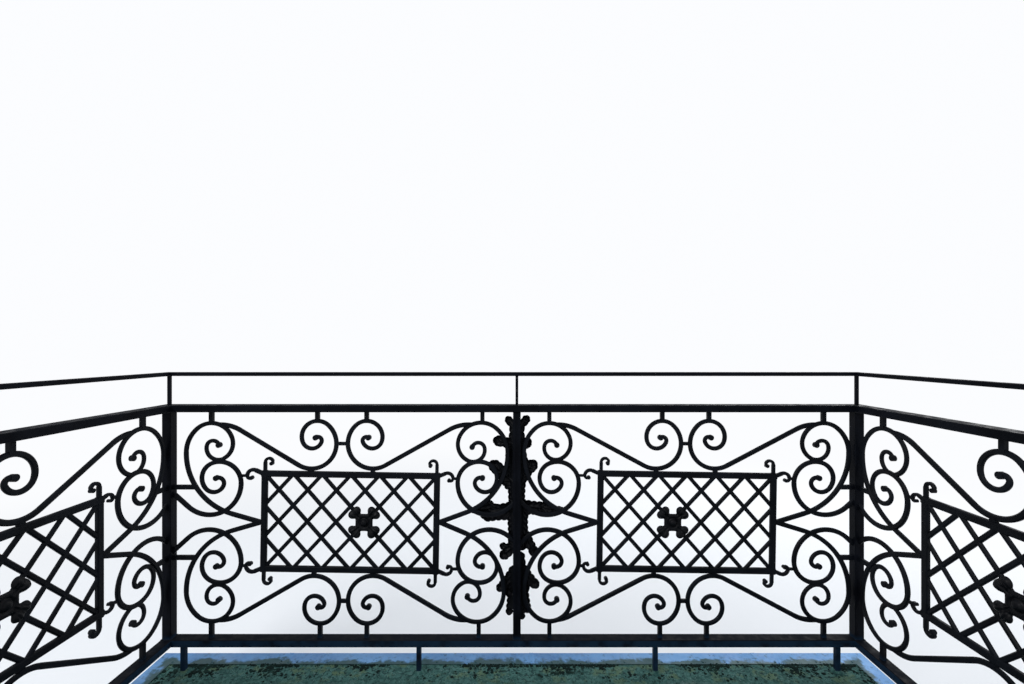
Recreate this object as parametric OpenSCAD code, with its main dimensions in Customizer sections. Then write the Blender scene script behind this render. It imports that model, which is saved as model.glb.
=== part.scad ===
// Iron balcony with a scrollwork railing
//
// A thin concrete floor slab carries a railing on three sides. The front
// has two bays and each side has one. Every bay is filled with forged
// scrolls around a diagonal lattice, and two acanthus leaves dress the
// centre post. Millimetres, +Z up, +Y away from the house wall, +X to the
// right of a person who stands in the doorway and looks out. The origin
// lies in the middle of the slab's wall face.

/* [Overall size] */
// Distance between the centres of the two corner posts
railing_w = 2520; // [2300:2:2800]
// Distance from the wall to the centre plane of the front railing
railing_d = 1210; // [1100:1:1400]
// How far the centre post stands to the right of the middle
centre_post_shift = 14; // [0:1:30]
// Height of the top of the raised hand bar above the floor
hand_bar_top = 1100; // [1080:1:1200]

/* [Slab and flashing] */
// Thickness of the floor slab
slab_t = 150; // [120:5:220]
// How far the slab runs beyond the front railing plane
front_overhang = 100; // [80:1:160]
// How far the slab runs beyond each side railing plane
side_overhang = 90; // [80:1:160]
// Thickness of the sheet-metal edge flashing
sheet_t = 1.5; // [1:0.5:3]
// Width of the flashing on top of the slab
flashing_w = 60; // [40:1:70]
// Height of the flashing on the edge of the slab
flashing_h = 70; // [40:1:110]

/* [Rails and posts] */
// Gap between the floor and the underside of the bottom rail
rail_gap = 102; // [80:1:120]
// Height of the bottom rail
bottom_rail_h = 26.5; // [20:0.5:32]
// Depth of the bottom rail
bottom_rail_d = 40; // [34:1:50]
// Clear height between the bottom rail and the top rail
clear_h = 827; // [790:1:850]
// Height of the top rail
top_rail_h = 25; // [20:1:32]
// Depth of the top rail
top_rail_d = 48; // [40:1:56]
// Side of the square corner and wall posts
post_s = 33; // [26:1:36]
// Width of the centre post
centre_post_w = 28; // [24:1:32]
// Height of the raised hand bar
hand_bar_h = 14; // [10:1:20]
// Depth of the raised hand bar
hand_bar_d = 20; // [14:1:30]
// Side of the square uprights that carry the hand bar
upright_s = 10; // [8:1:14]
// Side of the square feet under the bottom rails
foot_s = 16; // [12:1:20]
// Bevel along the edges of the rails and posts
rail_bevel = 2; // [1:0.5:4]
// Width of the groove down the inner face of the centre post
groove_w = 9; // [6:0.5:12]
// Depth of that groove
groove_d = 3; // [1:0.5:5]

/* [Scrollwork] */
// Width of the scroll bars in the plane of the panel
bar_w = 17; // [14:0.5:19]
// Depth of the scroll bars
bar_d = 12; // [10:1:16]
// Bevel along the edges of the scroll bars
bar_bevel = 3; // [1:0.5:4]
// Radius of the round eye at the end of each scroll
eye_r = 10; // [9:0.5:11]
// How far the middle of the scrollwork lies above the middle of the clear height
field_rise = 7.5; // [0:0.5:12]
// Gap between the two S-scrolls of a pair
pair_gap = 16; // [11:1:30]
// How much wider that gap is in the upper pair of the front left bay
left_upper_extra = 9; // [0:1:14]
// Length of the stub between an S-scroll and the rail
pair_stub = 26; // [20:1:34]
// Gap between an S-scroll and the lattice frame
pair_seat = 3; // [2:0.5:6]
// Height of the bridge between the two S-scrolls of a pair
bridge_h = 12; // [8:1:16]
// How far the front right upper pair stands left of the middle of its bay
right_upper_shift = 3; // [0:1:16]
// How far the front right lower pair stands left of the middle of its bay
right_lower_shift = 12; // [0:1:20]
// How far the front left upper pair stands left of the middle of its bay
left_upper_shift = 5; // [0:1:16]
// How far the S-scroll pairs of the left side stand toward the wall
left_side_shift = 14; // [0:1:16]
// How far the S-scroll pairs of the right side stand toward the corner
right_side_shift = 9; // [0:1:14]
// How far the westmost volutes stand clear of the left corner post
west_gap = 33; // [0:1:40]
// How far the upper tall volute left of the centre post stands clear of it
middle_gap = 8; // [0:1:24]
// How far the lower one does
middle_low_gap = 22; // [0:1:28]
// How much larger the crown of the upper one is than the others
middle_growth = 7; // [0:1:8]
// How much larger the crown of the lower one is
middle_low_growth = 10; // [0:1:11]
// How much larger the crowns of the side bays are
side_growth = 9; // [0:1:11]
// How much closer to the centre post the curls on its left side stand
middle_curl_shift = 10; // [0:1:14]
// How far the tails of the front S-scrolls reach onto the tall volutes
front_tail = 10; // [0:1:20]
// How far the tails left of the centre post stay back
middle_tail = 8; // [0:1:9]
// How far the lower tail right of the centre post reaches onto its volute
low_tail = 30; // [10:1:32]
// How much closer to the posts the curls of the side bays stand
side_curl_shift = 12; // [0:1:16]
// How much thinner a scroll bar gets with each bend toward its eye
bar_taper = 0.4; // [0.3:0.1:0.5]
// Height of the nubs between the tall volutes and the corner and wall posts
nub_h = 16; // [10:1:20]
// How deep each piece is let into its neighbour
seat = 0.3; // [0.2:0.1:0.5]

/* [Lattice] */
// Space for the volutes between a front lattice and its posts
front_room = 291; // [282:1:310]
// Space for the volutes at the west end of the front left bay
west_room = 331; // [315:1:345]
// Space for the volutes at the east end of the front left bay
middle_room = 281; // [276:1:300]
// Space for the volutes between a side lattice and its posts
side_room = 265; // [258:1:280]
// Distance between the middles of the upper and lower lattice frame bars
lattice_h = 348; // [330:1:360]
// Width of the diagonal lattice bars
lattice_bar_w = 14; // [11:0.5:15]
// Depth of the diagonal lattice bars
lattice_bar_d = 10; // [8:1:12]
// Width of the bars that frame the lattice
frame_w = 22; // [18:0.5:24]
// Depth of the bars that frame the lattice
frame_d = 14; // [12:1:18]
// Gap between a crook of the lattice frame and the curl beside it
crook_gap = 5; // [3:0.5:8]
// Width of the crooks where they leave the lattice frame
crook_w = 14; // [11:0.5:15]
// Height of the small link between a crook and the curl beside it
hook_h = 9; // [6:0.5:11]
// How far the lattices of the front bays have sagged out of level
lattice_tilt = 0.9; // [0:0.1:1.2]

/* [Ornament] */
// Thickness of the beaten leaf sheet
leaf_t = 3; // [2:0.5:5]
// Width of a rosette across its petals
rosette_w = 115; // [100:1:124]

/* [Hidden] */
$fn = 48;

iron = [0.10, 0.11, 0.13];
concrete = [0.52, 0.55, 0.50];
zinc = [0.66, 0.72, 0.76];

// Half the cells of the lattice, across and upward
columns = 6;
rows = 3;

// Crooks of the lattice frame: the upright ones stand off the middle of their
// bar by the lean, the level ones are drawn at full size and scaled
upright_lean = -1;
level_drop = 3;
crook_rise = 23;
crook_shank = 30;
crook_r = 18;
crook_tip_r = 8;
crook_thin = 1.6;
crook_d = bar_d - 2 * seat;

// Width of a beaten lobe between its ends, as a share of its radii
lobe_waist = 0.9;

// Heights, measured from the origin
floor_z = slab_t / 2;
panel_z = floor_z + rail_gap + bottom_rail_h;
top_rail_z = panel_z + clear_h;
hand_bar_z = floor_z + hand_bar_top - hand_bar_h;
upright_h = hand_bar_z - top_rail_z - top_rail_h;

// Plan positions
corner_x = railing_w / 2;
slab_w = railing_w + 2 * side_overhang;
slab_d = railing_d + front_overhang;
corner_face = corner_x - post_s / 2;
right_face = centre_post_shift + centre_post_w / 2;
left_face = centre_post_shift - centre_post_w / 2;
right_half = (corner_face - right_face) / 2;
left_half = (corner_face + left_face) / 2;
side_half = (railing_d - 3 * post_s / 2) / 2;
right_bay_x = (corner_face + right_face) / 2;
left_bay_x = (left_face - corner_face) / 2;
side_mid_y = (railing_d + post_s / 2) / 2;

// Feet: from the corner posts, from the centre post and from the front plane
foot_insets = [53, 72];
foot_steps = [359, 507];
side_foot_steps = [350, 880];

// Ends of the bays: half width of the bay, room for the volutes, gaps that
// the tall volute and the curl keep to the post, growth of the crown and
// shift of the S-scroll's tail toward the post. The lower halves of the
// front bays differ from the upper ones.
right_bay = [[right_half, front_room, 0, 0, 0, front_tail], [right_half, front_room, 0, 0, 0, front_tail]];
right_low = [[right_half, front_room, 0, 0, 0, low_tail], [right_half, front_room, 0, 0, 0, 0]];
west_end = [left_half, west_room, west_gap, west_gap, 0, front_tail];
left_bay = [west_end,
    [left_half, middle_room, middle_gap, -middle_curl_shift, middle_growth, -middle_tail]];
left_low = [west_end,
    [left_half, middle_room, middle_low_gap, -middle_curl_shift, middle_low_growth, -middle_tail]];
side_end = [side_half, side_room, 0, -side_curl_shift, side_growth, 0];
side_bay = [side_end, side_end];

// The scrolls are drawn for this clear height and scaled with the real one
figure_h = 827;
function k(size) = size * clear_h / figure_h;
nub_drop = k(124);
field_mid = clear_h / 2 + field_rise;
frame_top = field_mid + lattice_h / 2 + frame_w / 2;

// A pose is [x, y, heading], a leg is [radius, sweep] or [0, length]
function sgn(leg) = leg[1] < 0 ? -1 : 1;
function middle(p, leg) = [p.x - sgn(leg) * leg[0] * sin(p.z), p.y + sgn(leg) * leg[0] * cos(p.z)];
function end_of(p, leg) = leg[0] == 0
    ? [p.x + leg[1] * cos(p.z), p.y + leg[1] * sin(p.z), p.z]
    : let (m = middle(p, leg), s = sgn(leg), t = p.z + leg[1])
        [m.x + s * leg[0] * sin(t), m.y - s * leg[0] * cos(t), t];
function pose(path, n) = n == 0 ? path[0] : end_of(pose(path, n - 1), path[1][n - 1]);
function arc_middle(path, n) = middle(pose(path, n), path[1][n]);
function direction(v) = atan2(v.y, v.x);

// Tall volute of one end: its tail leaves the lattice frame at middle
// height and runs tangent into the first round
tall_r = k(231);
function crown_r(e) = k(79) + e[4];
function tall_path(e) =
    let (foot = [e[0] - e[1] + frame_w / 2, field_mid],
        v = [e[0] - e[2] - k(243), field_mid + k(253)] - foot,
        heading = direction(v) - asin(tall_r / norm(v)))
    [[foot.x, foot.y, heading],
        [[0, sqrt(v * v - tall_r * tall_r)], [tall_r, 91 - heading], [k(117), 50], [crown_r(e), 110],
            [crown_r(e) - k(16) - e[4] / 2, 82], [k(43), 128], [k(23.5), 150]]];

// Curl beside it, from its root on the post
curl_start = k(19.5);
curl_heading = 222;
function curl_path(e) = [
    [e[0] - e[3] - curl_start, field_mid + k(57), curl_heading],
    [[k(116), -133], [k(78), -110], [k(59), -107], [k(39), -122], [k(20.5), -132]]];
function curl_edge(e) = arc_middle(curl_path(e), 1).x - k(78) - bar_w / 2;

// S-scroll: a tail on the crown of the tall volute, a straight bar and a
// spiral that fills the height between the lattice and the rail
tail_r = k(140);
tail_from = 172;
turn_at = 42;
spiral_steps = [1, 0.63, 0.40, 0.15];
spiral_h = clear_h - pair_stub - frame_top - pair_seat - bar_w;
spiral_r = spiral_h / (1 + spiral_steps[1] + (1 - spiral_steps[1]) * cos(turn_at));
spiral_y = frame_top + pair_seat + bar_w / 2 + spiral_r;
function s_path(e, x) =
    let (tail = [e[0] - e[2] - k(148) + e[5], field_mid + k(358) - tail_r],
        v = [x, spiral_y] - tail,
        radii = tail_r + spiral_r,
        heading = direction(v) + asin(radii / norm(v)))
    [[tail.x + tail_r * sin(tail_from), tail.y - tail_r * cos(tail_from), tail_from],
        [[tail_r, heading - tail_from], [0, sqrt(v * v - radii * radii)],
            [spiral_r, turn_at - heading], [spiral_steps[1] * spiral_r, -150],
            [spiral_steps[2] * spiral_r, -142], [spiral_steps[3] * spiral_r, -146]]];

// A bar's section, w wide and d deep, with beveled edges
module section(w, d, bevel) {
    polygon([[-w / 2, bevel - d / 2], [bevel - w / 2, -d / 2], [w / 2 - bevel, -d / 2], [w / 2, bevel - d / 2],
        [w / 2, d / 2 - bevel], [w / 2 - bevel, d / 2], [bevel - w / 2, d / 2], [-w / 2, d / 2 - bevel]]);
}

// One leg of a forged bar, straight or bent to an arc, let into the leg before it
module leg_bar(p, leg, w, d, bevel) {
    if (leg[0] == 0) {
        translate([p.x, p.y, 0]) rotate(p.z) rotate([90, 0, 90])
            translate([0, 0, -seat]) linear_extrude(leg[1] + seat) section(w, d, bevel);
    } else {
        back = seat / leg[0] * 180 / PI;
        from = leg[1] > 0 ? p.z - 90 - back : p.z + 90 + leg[1];
        translate(concat(middle(p, leg), 0))
            rotate_extrude(angle = abs(leg[1]) + back, start = from)
                translate([leg[0], 0]) section(w, d, bevel);
    }
}

// A forged bar along a path, with a round eye at its free end
module scroll(path, w = bar_w, d = bar_d, bevel = bar_bevel, eye = eye_r, taper = bar_taper) {
    for (n = [0 : len(path[1]) - 1])
        leg_bar(pose(path, n), path[1][n], w - (n + 1) * taper, d - (n + 1) * bar_taper, bevel);
    tip = pose(path, len(path[1]));
    translate([tip.x, tip.y, -d / 2]) cylinder(r = eye, h = d);
}

// A short block between two bars, centred on x, from y0 up to y1
module link(x, y0, y1, w = bar_w - 2) {
    translate([x - w / 2, y0, -bar_d / 2]) cube([w, y1 - y0, bar_d]);
}

// Stands a drawn panel up in its bay
module in_front_bay(x) {
    translate([x, railing_d, panel_z]) rotate([90, 0, 0]) children();
}
module in_right_bay() {
    translate([corner_x, side_mid_y, panel_z]) rotate([90, 0, -90]) children();
}
module in_left_bay() {
    translate([-corner_x, side_mid_y, panel_z]) rotate([90, 0, 90]) children();
}

// The lower half of a field is the upper half turned over
module turned_over() {
    translate([0, 2 * field_mid, 0]) mirror([0, 1, 0]) children();
}

// Draws the two ends of a bay, the first one mirrored to the west
module at_end(n) {
    mirror([n == 0 ? 1 : 0, 0, 0]) children();
}

// The crown of the tall volute and the side of the curl, as their neighbours meet them
module crown_round(e) {
    translate(concat(arc_middle(tall_path(e), 3), -bar_d))
        cylinder(r = crown_r(e) + bar_w / 2 - 2 * bar_taper - seat, h = 2 * bar_d, $fn = 96);
}
module curl_round(e) {
    translate(concat(arc_middle(curl_path(e), 1), -bar_d))
        cylinder(r = k(78) + bar_w / 2 - bar_taper - seat, h = 2 * bar_d, $fn = 96);
}

// Outer line of the tilted frame bar above the lattice, and below it when turned over
function frame_line(x, tilt) = field_mid + (lattice_h / 2 + frame_w / 2) / cos(tilt) - x * tan(tilt);

// The two S-scrolls of a bay, linked to each other, to the rail and to the lattice;
// the pair stands off the middle of the bay by the shift, to the west
module scroll_pair(bay, top, gap, shift, tilt) {
    centre = (bay[0][1] - bay[1][1]) / 2;
    for (n = [0, 1]) {
        e = bay[n];
        side = n == 0 ? -1 : 1;
        out = (gap + bar_w) / 2 + spiral_r - side * shift;
        path = s_path(e, out);
        peak = arc_middle(path, 3);
        at_end(n) {
            difference() {
                scroll(path);
                crown_round(e);
            }
            link(peak.x, peak.y + path[1][3][0], top);
        }
        link(side * out, frame_line(side * out - centre, tilt) - seat, spiral_y - spiral_r);
    }
    translate([-shift, spiral_y, 0]) cube([gap + bar_w, bridge_h, bar_d - 2], center = true);
}

module upper_scrolls(bay, gap, shift = 0, tilt = 0) scroll_pair(bay, clear_h, gap, shift, tilt);
module lower_scrolls(bay, gap, shift = 0, tilt = 0) turned_over()
    scroll_pair(bay, 2 * field_mid, gap, shift, -tilt);

// The tall volute and the curl at one end of a field, upper half, forged from bars d deep
module volute_pair(e, top, d, nubbed) {
    tall = tall_path(e);
    curl = curl_path(e);
    crown = arc_middle(tall, 3);
    nub = arc_middle(tall, 1) + [sqrt(tall_r * tall_r - nub_drop * nub_drop), -nub_drop];
    root = curl_start + e[3] + bar_w;
    intersection() {
        union() {
            scroll(tall, bar_w, d);
            scroll(curl, bar_w, d - 2 * seat);
            translate([curl[0].x, curl[0].y, 0]) rotate(curl_heading) rotate([90, 0, 90])
                translate([0, 0, -root / cos(curl_heading - 180)])
                    linear_extrude(root / cos(curl_heading - 180)) section(bar_w, d - 2 * seat, bar_bevel);
            link(crown.x + 3 * e[4] / 4, crown.y + crown_r(e), top);
            if (nubbed) translate([nub.x, nub.y - nub_h / 2, -bar_d / 2 + 1]) cube([tall_r, nub_h, bar_d - 2]);
        }
        translate([tall[0].x - seat, field_mid - seat, -bar_d])
            cube([e[0] - tall[0].x + 2 * seat, top, 2 * bar_d]);
    }
}

// Both halves; the lower bars are a little less deep where the two meet
module volutes(e, low, nubbed = true) {
    volute_pair(e, clear_h, bar_d, nubbed);
    turned_over() volute_pair(low, 2 * field_mid, bar_d - bar_taper / 2, nubbed);
}

function turned(p, a) = [p.x * cos(a) - p.y * sin(a), p.x * sin(a) + p.y * cos(a)];

// Crook of an upright frame bar, from the corner of the frame at p, bent in over the lattice
function upright_crook(p) = [[p.x + upright_lean, p.y, 90], [[0, k(42)], [k(14), 165], [k(7), 80]]];

// Crook of a level frame bar, bent down beside the curl, s times its drawn size
function level_crook(p, s) = [[p.x, p.y - level_drop, crook_rise],
    [[0, crook_shank * s], [crook_r * s, -90 - crook_rise], [crook_tip_r * s, -130]]];
// How far that crook reaches from the corner, at its drawn size, and how far its bend lies above it
crook_span = crook_shank * cos(crook_rise) + crook_r * (1 + sin(crook_rise)) + crook_w / 2 - crook_thin;
crook_lift = crook_shank * sin(crook_rise) - crook_r * cos(crook_rise);
function crook_reach(e) = curl_edge(e) - crook_gap - e[0] + e[1];

// Lattice in a frame whose bars run out into crooks, linked to the curls
module lattice(bay, tilt = 0) {
    centre = (bay[0][1] - bay[1][1]) / 2;
    half_w = (2 * bay[0][0] - bay[0][1] - bay[1][1]) / 2;
    half_h = lattice_h / 2;
    cell_w = half_w / columns;
    cell_h = half_h / rows;
    angle = atan2(cell_h, cell_w);
    outer = columns + rows - 2;
    translate([centre, field_mid, 0]) rotate(-tilt) {
        intersection() {
            for (side = [-1, 1], n = [-outer : 2 : outer])
                translate([n * cell_w, 0, 0]) rotate(side * angle) rotate([90, 0, 90])
                    linear_extrude(lattice_h / sin(angle), center = true)
                        section(lattice_bar_w, lattice_bar_d, bar_bevel);
            cube([2 * half_w, 2 * half_h, lattice_bar_d], center = true);
        }
        for (s = [-1, 1]) {
            translate([s * half_w, half_h + frame_w / 2, 0]) rotate([90, 0, 0])
                linear_extrude(2 * half_h + frame_w) section(frame_w, frame_d, bar_bevel);
            translate([-half_w - frame_w / 2, s * half_h, 0]) rotate([90, 0, 90])
                linear_extrude(2 * half_w + frame_w) section(frame_w, frame_d, bar_bevel);
        }
        for (n = [0, 1], v = [0, 1]) at_end(n) mirror([0, v, 0]) {
            s = crook_reach(bay[n]) / crook_span;
            scroll(upright_crook([half_w, half_h]), k(crook_w), bar_d, k(2), k(7), k(2));
            scroll(level_crook([half_w, half_h], s), crook_w * s, crook_d, 2 * s, 6 * s, crook_thin * s);
        }
    }
    for (n = [0, 1], v = [0, 1]) {
        e = bay[n];
        side = n == 0 ? -1 : 1;
        up = v == 0 ? 1 : -1;
        reach = crook_reach(e);
        length = crook_gap + bar_w;
        lift = crook_lift * reach / crook_span - level_drop;
        hook = turned([side * (half_w + reach - hook_h / 3), up * (half_h + lift)], -tilt);
        difference() {
            translate([centre + hook.x + side * length / 2, field_mid + hook.y, 0])
                cube([length, hook_h, frame_d / 2], center = true);
            translate([0, v * 2 * field_mid, 0]) mirror([0, v, 0]) at_end(n) curl_round(e);
        }
    }
}

// A beaten lobe, from a root of radius a to a tip of radius b, a little slimmer between them
module lobe(root, tip, a, b) {
    v = tip - root;
    translate(root) circle(a);
    translate(tip) circle(b);
    half = lobe_waist * [a, b];
    translate(root) rotate(direction(v))
        polygon([[0, -half[0]], [norm(v), -half[1]], [norm(v), half[1]], [0, half[0]]]);
}

// Lobes beside the centre post, from its crown to its foot, outward and upward from its middle
module right_leaves() {
    lobe([14, 770], [34, 797], 12, 13);
    lobe([14, 690], [36, 711], 16, 17);
    lobe([16, 585], [56, 628], 24, 19);
    lobe([12, 640], [14, 500], 26, 12);
    lobe([12, 478], [96, 474], 27, 19);
    lobe([96, 472], [166, 464], 15, 7);
    lobe([70, 476], [94, 452], 13, 12);
    lobe([12, 470], [18, 340], 28, 22);
    lobe([30, 372], [64, 308], 17, 15);
    lobe([14, 320], [14, 180], 20, 29);
    lobe([20, 245], [66, 190], 18, 15);
    lobe([16, 190], [38, 98], 22, 12);
    lobe([12, 130], [18, 72], 15, 10);
}
module left_leaves() {
    lobe([12, 770], [30, 795], 12, 12);
    lobe([14, 706], [68, 718], 18, 17);
    lobe([20, 570], [82, 626], 28, 20);
    lobe([12, 660], [14, 500], 27, 14);
    lobe([14, 470], [108, 466], 27, 20);
    lobe([104, 466], [162, 462], 16, 8);
    lobe([84, 472], [110, 492], 12, 12);
    lobe([70, 466], [104, 442], 14, 13);
    lobe([12, 460], [14, 345], 23, 15);
    lobe([16, 318], [50, 330], 10, 11);
    lobe([16, 325], [46, 298], 20, 16);
    lobe([14, 275], [14, 160], 22, 25);
    lobe([20, 222], [60, 177], 18, 14);
    lobe([14, 170], [28, 88], 18, 10);
}

// Sheet with the lobes of one side of the centre post, behind the scrolls as seen from the house
module acanthus() {
    difference() {
        translate([0, 0, -bar_d / 2 - leaf_t]) linear_extrude(leaf_t) scale(clear_h / figure_h) children();
        translate([-right_half, -right_half, -bar_d])
            cube([right_half + centre_post_w / 2, clear_h + 2 * right_half, 2 * bar_d]);
    }
}

// Four-petal rosette on a crossing of the lattice, columns to the right of its middle
module rosette(bay, column, tilt = 0) {
    centre = (bay[0][1] - bay[1][1]) / 2;
    cell_w = (2 * bay[0][0] - bay[0][1] - bay[1][1]) / 2 / columns;
    petal = rosette_w * 0.11;
    translate([centre, field_mid, lattice_bar_d / 2]) rotate(-tilt) translate([column * cell_w, 0, 0]) {
        linear_extrude(leaf_t) {
            square(rosette_w / 2, center = true);
            for (a = [0 : 90 : 270]) rotate(a) {
                translate([rosette_w * 0.30, rosette_w * 0.30]) circle(petal * 1.35);
                translate([rosette_w / 2 - petal, rosette_w * 0.22]) circle(petal);
                translate([rosette_w * 0.22, rosette_w / 2 - petal]) circle(petal);
                translate([rosette_w * 0.41, rosette_w * 0.41]) circle(petal * 0.85);
            }
        }
        cylinder(r1 = rosette_w * 0.15, r2 = rosette_w * 0.09, h = 3 * leaf_t);
    }
}

module rosettes() {
    color(iron) {
        in_front_bay(left_bay_x) rosette(left_bay, 1, lattice_tilt);
        in_front_bay(right_bay_x) rosette(right_bay, -1, lattice_tilt);
        in_left_bay() rosette(side_bay, 1);
        in_right_bay() rosette(side_bay, -1);
    }
}

module floor_slab() {
    color(concrete) translate([-slab_w / 2, 0, -slab_t / 2]) cube([slab_w, slab_d, slab_t]);
}

// Folded sheet along the slab edge: top leaf and hanging lip
module flashing(length) {
    translate([0, -flashing_w, slab_t / 2]) cube([length, flashing_w + sheet_t, sheet_t]);
    translate([0, 0, slab_t / 2 - flashing_h]) cube([length, sheet_t, flashing_h]);
}
module front_flashing() {
    color(zinc) translate([-slab_w / 2 - sheet_t, slab_d, 0]) flashing(slab_w + 2 * sheet_t);
}
module right_flashing() {
    color(zinc) translate([slab_w / 2, slab_d - flashing_w, 0]) rotate(-90) flashing(slab_d - flashing_w);
}
module left_flashing() {
    color(zinc) translate([-slab_w / 2, 0, 0]) rotate(90) flashing(slab_d - flashing_w);
}

module post(w, x, y) {
    color(iron) translate([x, y, panel_z]) linear_extrude(clear_h) section(w, post_s, rail_bevel);
}
module left_corner_post() post(post_s, -corner_x, railing_d);
module right_corner_post() post(post_s, corner_x, railing_d);
module centre_post() {
    color(iron) difference() {
        post(centre_post_w, centre_post_shift, railing_d);
        translate([centre_post_shift - groove_w / 2, railing_d - post_s / 2 - groove_d, panel_z - 1])
            cube([groove_w, 2 * groove_d, clear_h + 2]);
    }
}
module left_wall_post() post(post_s, -corner_x, post_s / 2);
module right_wall_post() post(post_s, corner_x, post_s / 2);

// A rail along the front, and one along a side from the wall to the front rail
module front_rail(z, h, d) {
    color(iron) translate([-corner_x - d / 2, railing_d, z + h / 2]) rotate([90, 0, 90])
        linear_extrude(railing_w + d) section(d, h, rail_bevel);
}
module side_rail(x, z, h, d) {
    color(iron) translate([x, railing_d - d / 2, z + h / 2]) rotate([90, 0, 0])
        linear_extrude(railing_d - d / 2) section(d, h, rail_bevel);
}
module front_bottom_rail() front_rail(panel_z - bottom_rail_h, bottom_rail_h, bottom_rail_d);
module left_bottom_rail() side_rail(-corner_x, panel_z - bottom_rail_h, bottom_rail_h, bottom_rail_d);
module right_bottom_rail() side_rail(corner_x, panel_z - bottom_rail_h, bottom_rail_h, bottom_rail_d);
module front_top_rail() front_rail(top_rail_z, top_rail_h, top_rail_d);
module left_top_rail() side_rail(-corner_x, top_rail_z, top_rail_h, top_rail_d);
module right_top_rail() side_rail(corner_x, top_rail_z, top_rail_h, top_rail_d);
module front_hand_bar() front_rail(hand_bar_z, hand_bar_h, hand_bar_d);
module left_hand_bar() side_rail(-corner_x, hand_bar_z, hand_bar_h, hand_bar_d);
module right_hand_bar() side_rail(corner_x, hand_bar_z, hand_bar_h, hand_bar_d);

module hand_bar_uprights() {
    for (p = [[-corner_x, railing_d], [centre_post_shift, railing_d], [corner_x, railing_d],
            [-corner_x, post_s / 2], [corner_x, post_s / 2]])
        color(iron) translate([p.x - upright_s / 2, p.y - upright_s / 2, top_rail_z + top_rail_h])
            cube([upright_s, upright_s, upright_h]);
}

module rail_feet() {
    fronts = [foot_insets[0] - corner_x, centre_post_shift - foot_steps[0],
        centre_post_shift + foot_steps[1], corner_x - foot_insets[1]];
    sides = [for (x = [-corner_x, corner_x], step = side_foot_steps) [x, railing_d - step]];
    for (p = concat([for (x = fronts) [x, railing_d]], sides))
        color(iron) translate([p.x - foot_s / 2, p.y - foot_s / 2, floor_z - seat])
            cube([foot_s, foot_s, rail_gap + 2 * seat]);
}

floor_slab();
front_flashing();
left_flashing();
right_flashing();
left_corner_post();
right_corner_post();
centre_post();
left_wall_post();
right_wall_post();
front_bottom_rail();
left_bottom_rail();
right_bottom_rail();
front_top_rail();
left_top_rail();
right_top_rail();
front_hand_bar();
left_hand_bar();
right_hand_bar();
hand_bar_uprights();
rail_feet();
rosettes();
color(iron) in_front_bay(centre_post_shift) mirror([1, 0, 0]) acanthus() left_leaves();  // left_acanthus
color(iron) in_front_bay(centre_post_shift) acanthus() right_leaves();  // right_acanthus
color(iron) in_front_bay(left_bay_x) lattice(left_bay, lattice_tilt);  // front_left_lattice
color(iron) in_front_bay(left_bay_x)  // front_left_upper_scrolls
        upper_scrolls(left_bay, pair_gap + left_upper_extra, left_upper_shift, lattice_tilt);
color(iron) in_front_bay(left_bay_x) lower_scrolls(left_low, pair_gap, 0, lattice_tilt);  // front_left_lower_scrolls
color(iron) in_front_bay(left_bay_x) at_end(0) volutes(left_bay[0], left_low[0]);  // front_left_west_volutes
color(iron) in_front_bay(left_bay_x) at_end(1) volutes(left_bay[1], left_low[1], false);  // front_left_east_volutes
color(iron) in_front_bay(right_bay_x) lattice(right_bay, lattice_tilt);  // front_right_lattice
color(iron) in_front_bay(right_bay_x) upper_scrolls(right_bay, pair_gap, right_upper_shift, lattice_tilt);  // front_right_upper_scrolls
color(iron) in_front_bay(right_bay_x) lower_scrolls(right_low, pair_gap, right_lower_shift, lattice_tilt);  // front_right_lower_scrolls
color(iron) in_front_bay(right_bay_x) at_end(0) volutes(right_bay[0], right_low[0], false);  // front_right_west_volutes
color(iron) in_front_bay(right_bay_x) at_end(1) volutes(right_bay[1], right_low[1]);  // front_right_east_volutes
color(iron) in_left_bay() lattice(side_bay);  // left_side_lattice
color(iron) in_left_bay() upper_scrolls(side_bay, pair_gap, left_side_shift);  // left_side_upper_scrolls
color(iron) in_left_bay() lower_scrolls(side_bay, pair_gap, left_side_shift);  // left_side_lower_scrolls
color(iron) in_left_bay() at_end(0) volutes(side_end, side_end);  // left_side_wall_volutes
color(iron) in_left_bay() at_end(1) volutes(side_end, side_end);  // left_side_corner_volutes
color(iron) in_right_bay() lattice(side_bay);  // right_side_lattice
color(iron) in_right_bay() upper_scrolls(side_bay, pair_gap, right_side_shift);  // right_side_upper_scrolls
color(iron) in_right_bay() lower_scrolls(side_bay, pair_gap, right_side_shift);  // right_side_lower_scrolls
color(iron) in_right_bay() at_end(0) volutes(side_end, side_end);  // right_side_corner_volutes
color(iron) in_right_bay() at_end(1) volutes(side_end, side_end);  // right_side_wall_volutes
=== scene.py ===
"""Iron balcony: finishes and fine forms of a floor slab with a three-sided scrollwork railing."""

import math
import random

import bpy
import numpy as np
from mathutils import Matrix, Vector, noise


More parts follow.
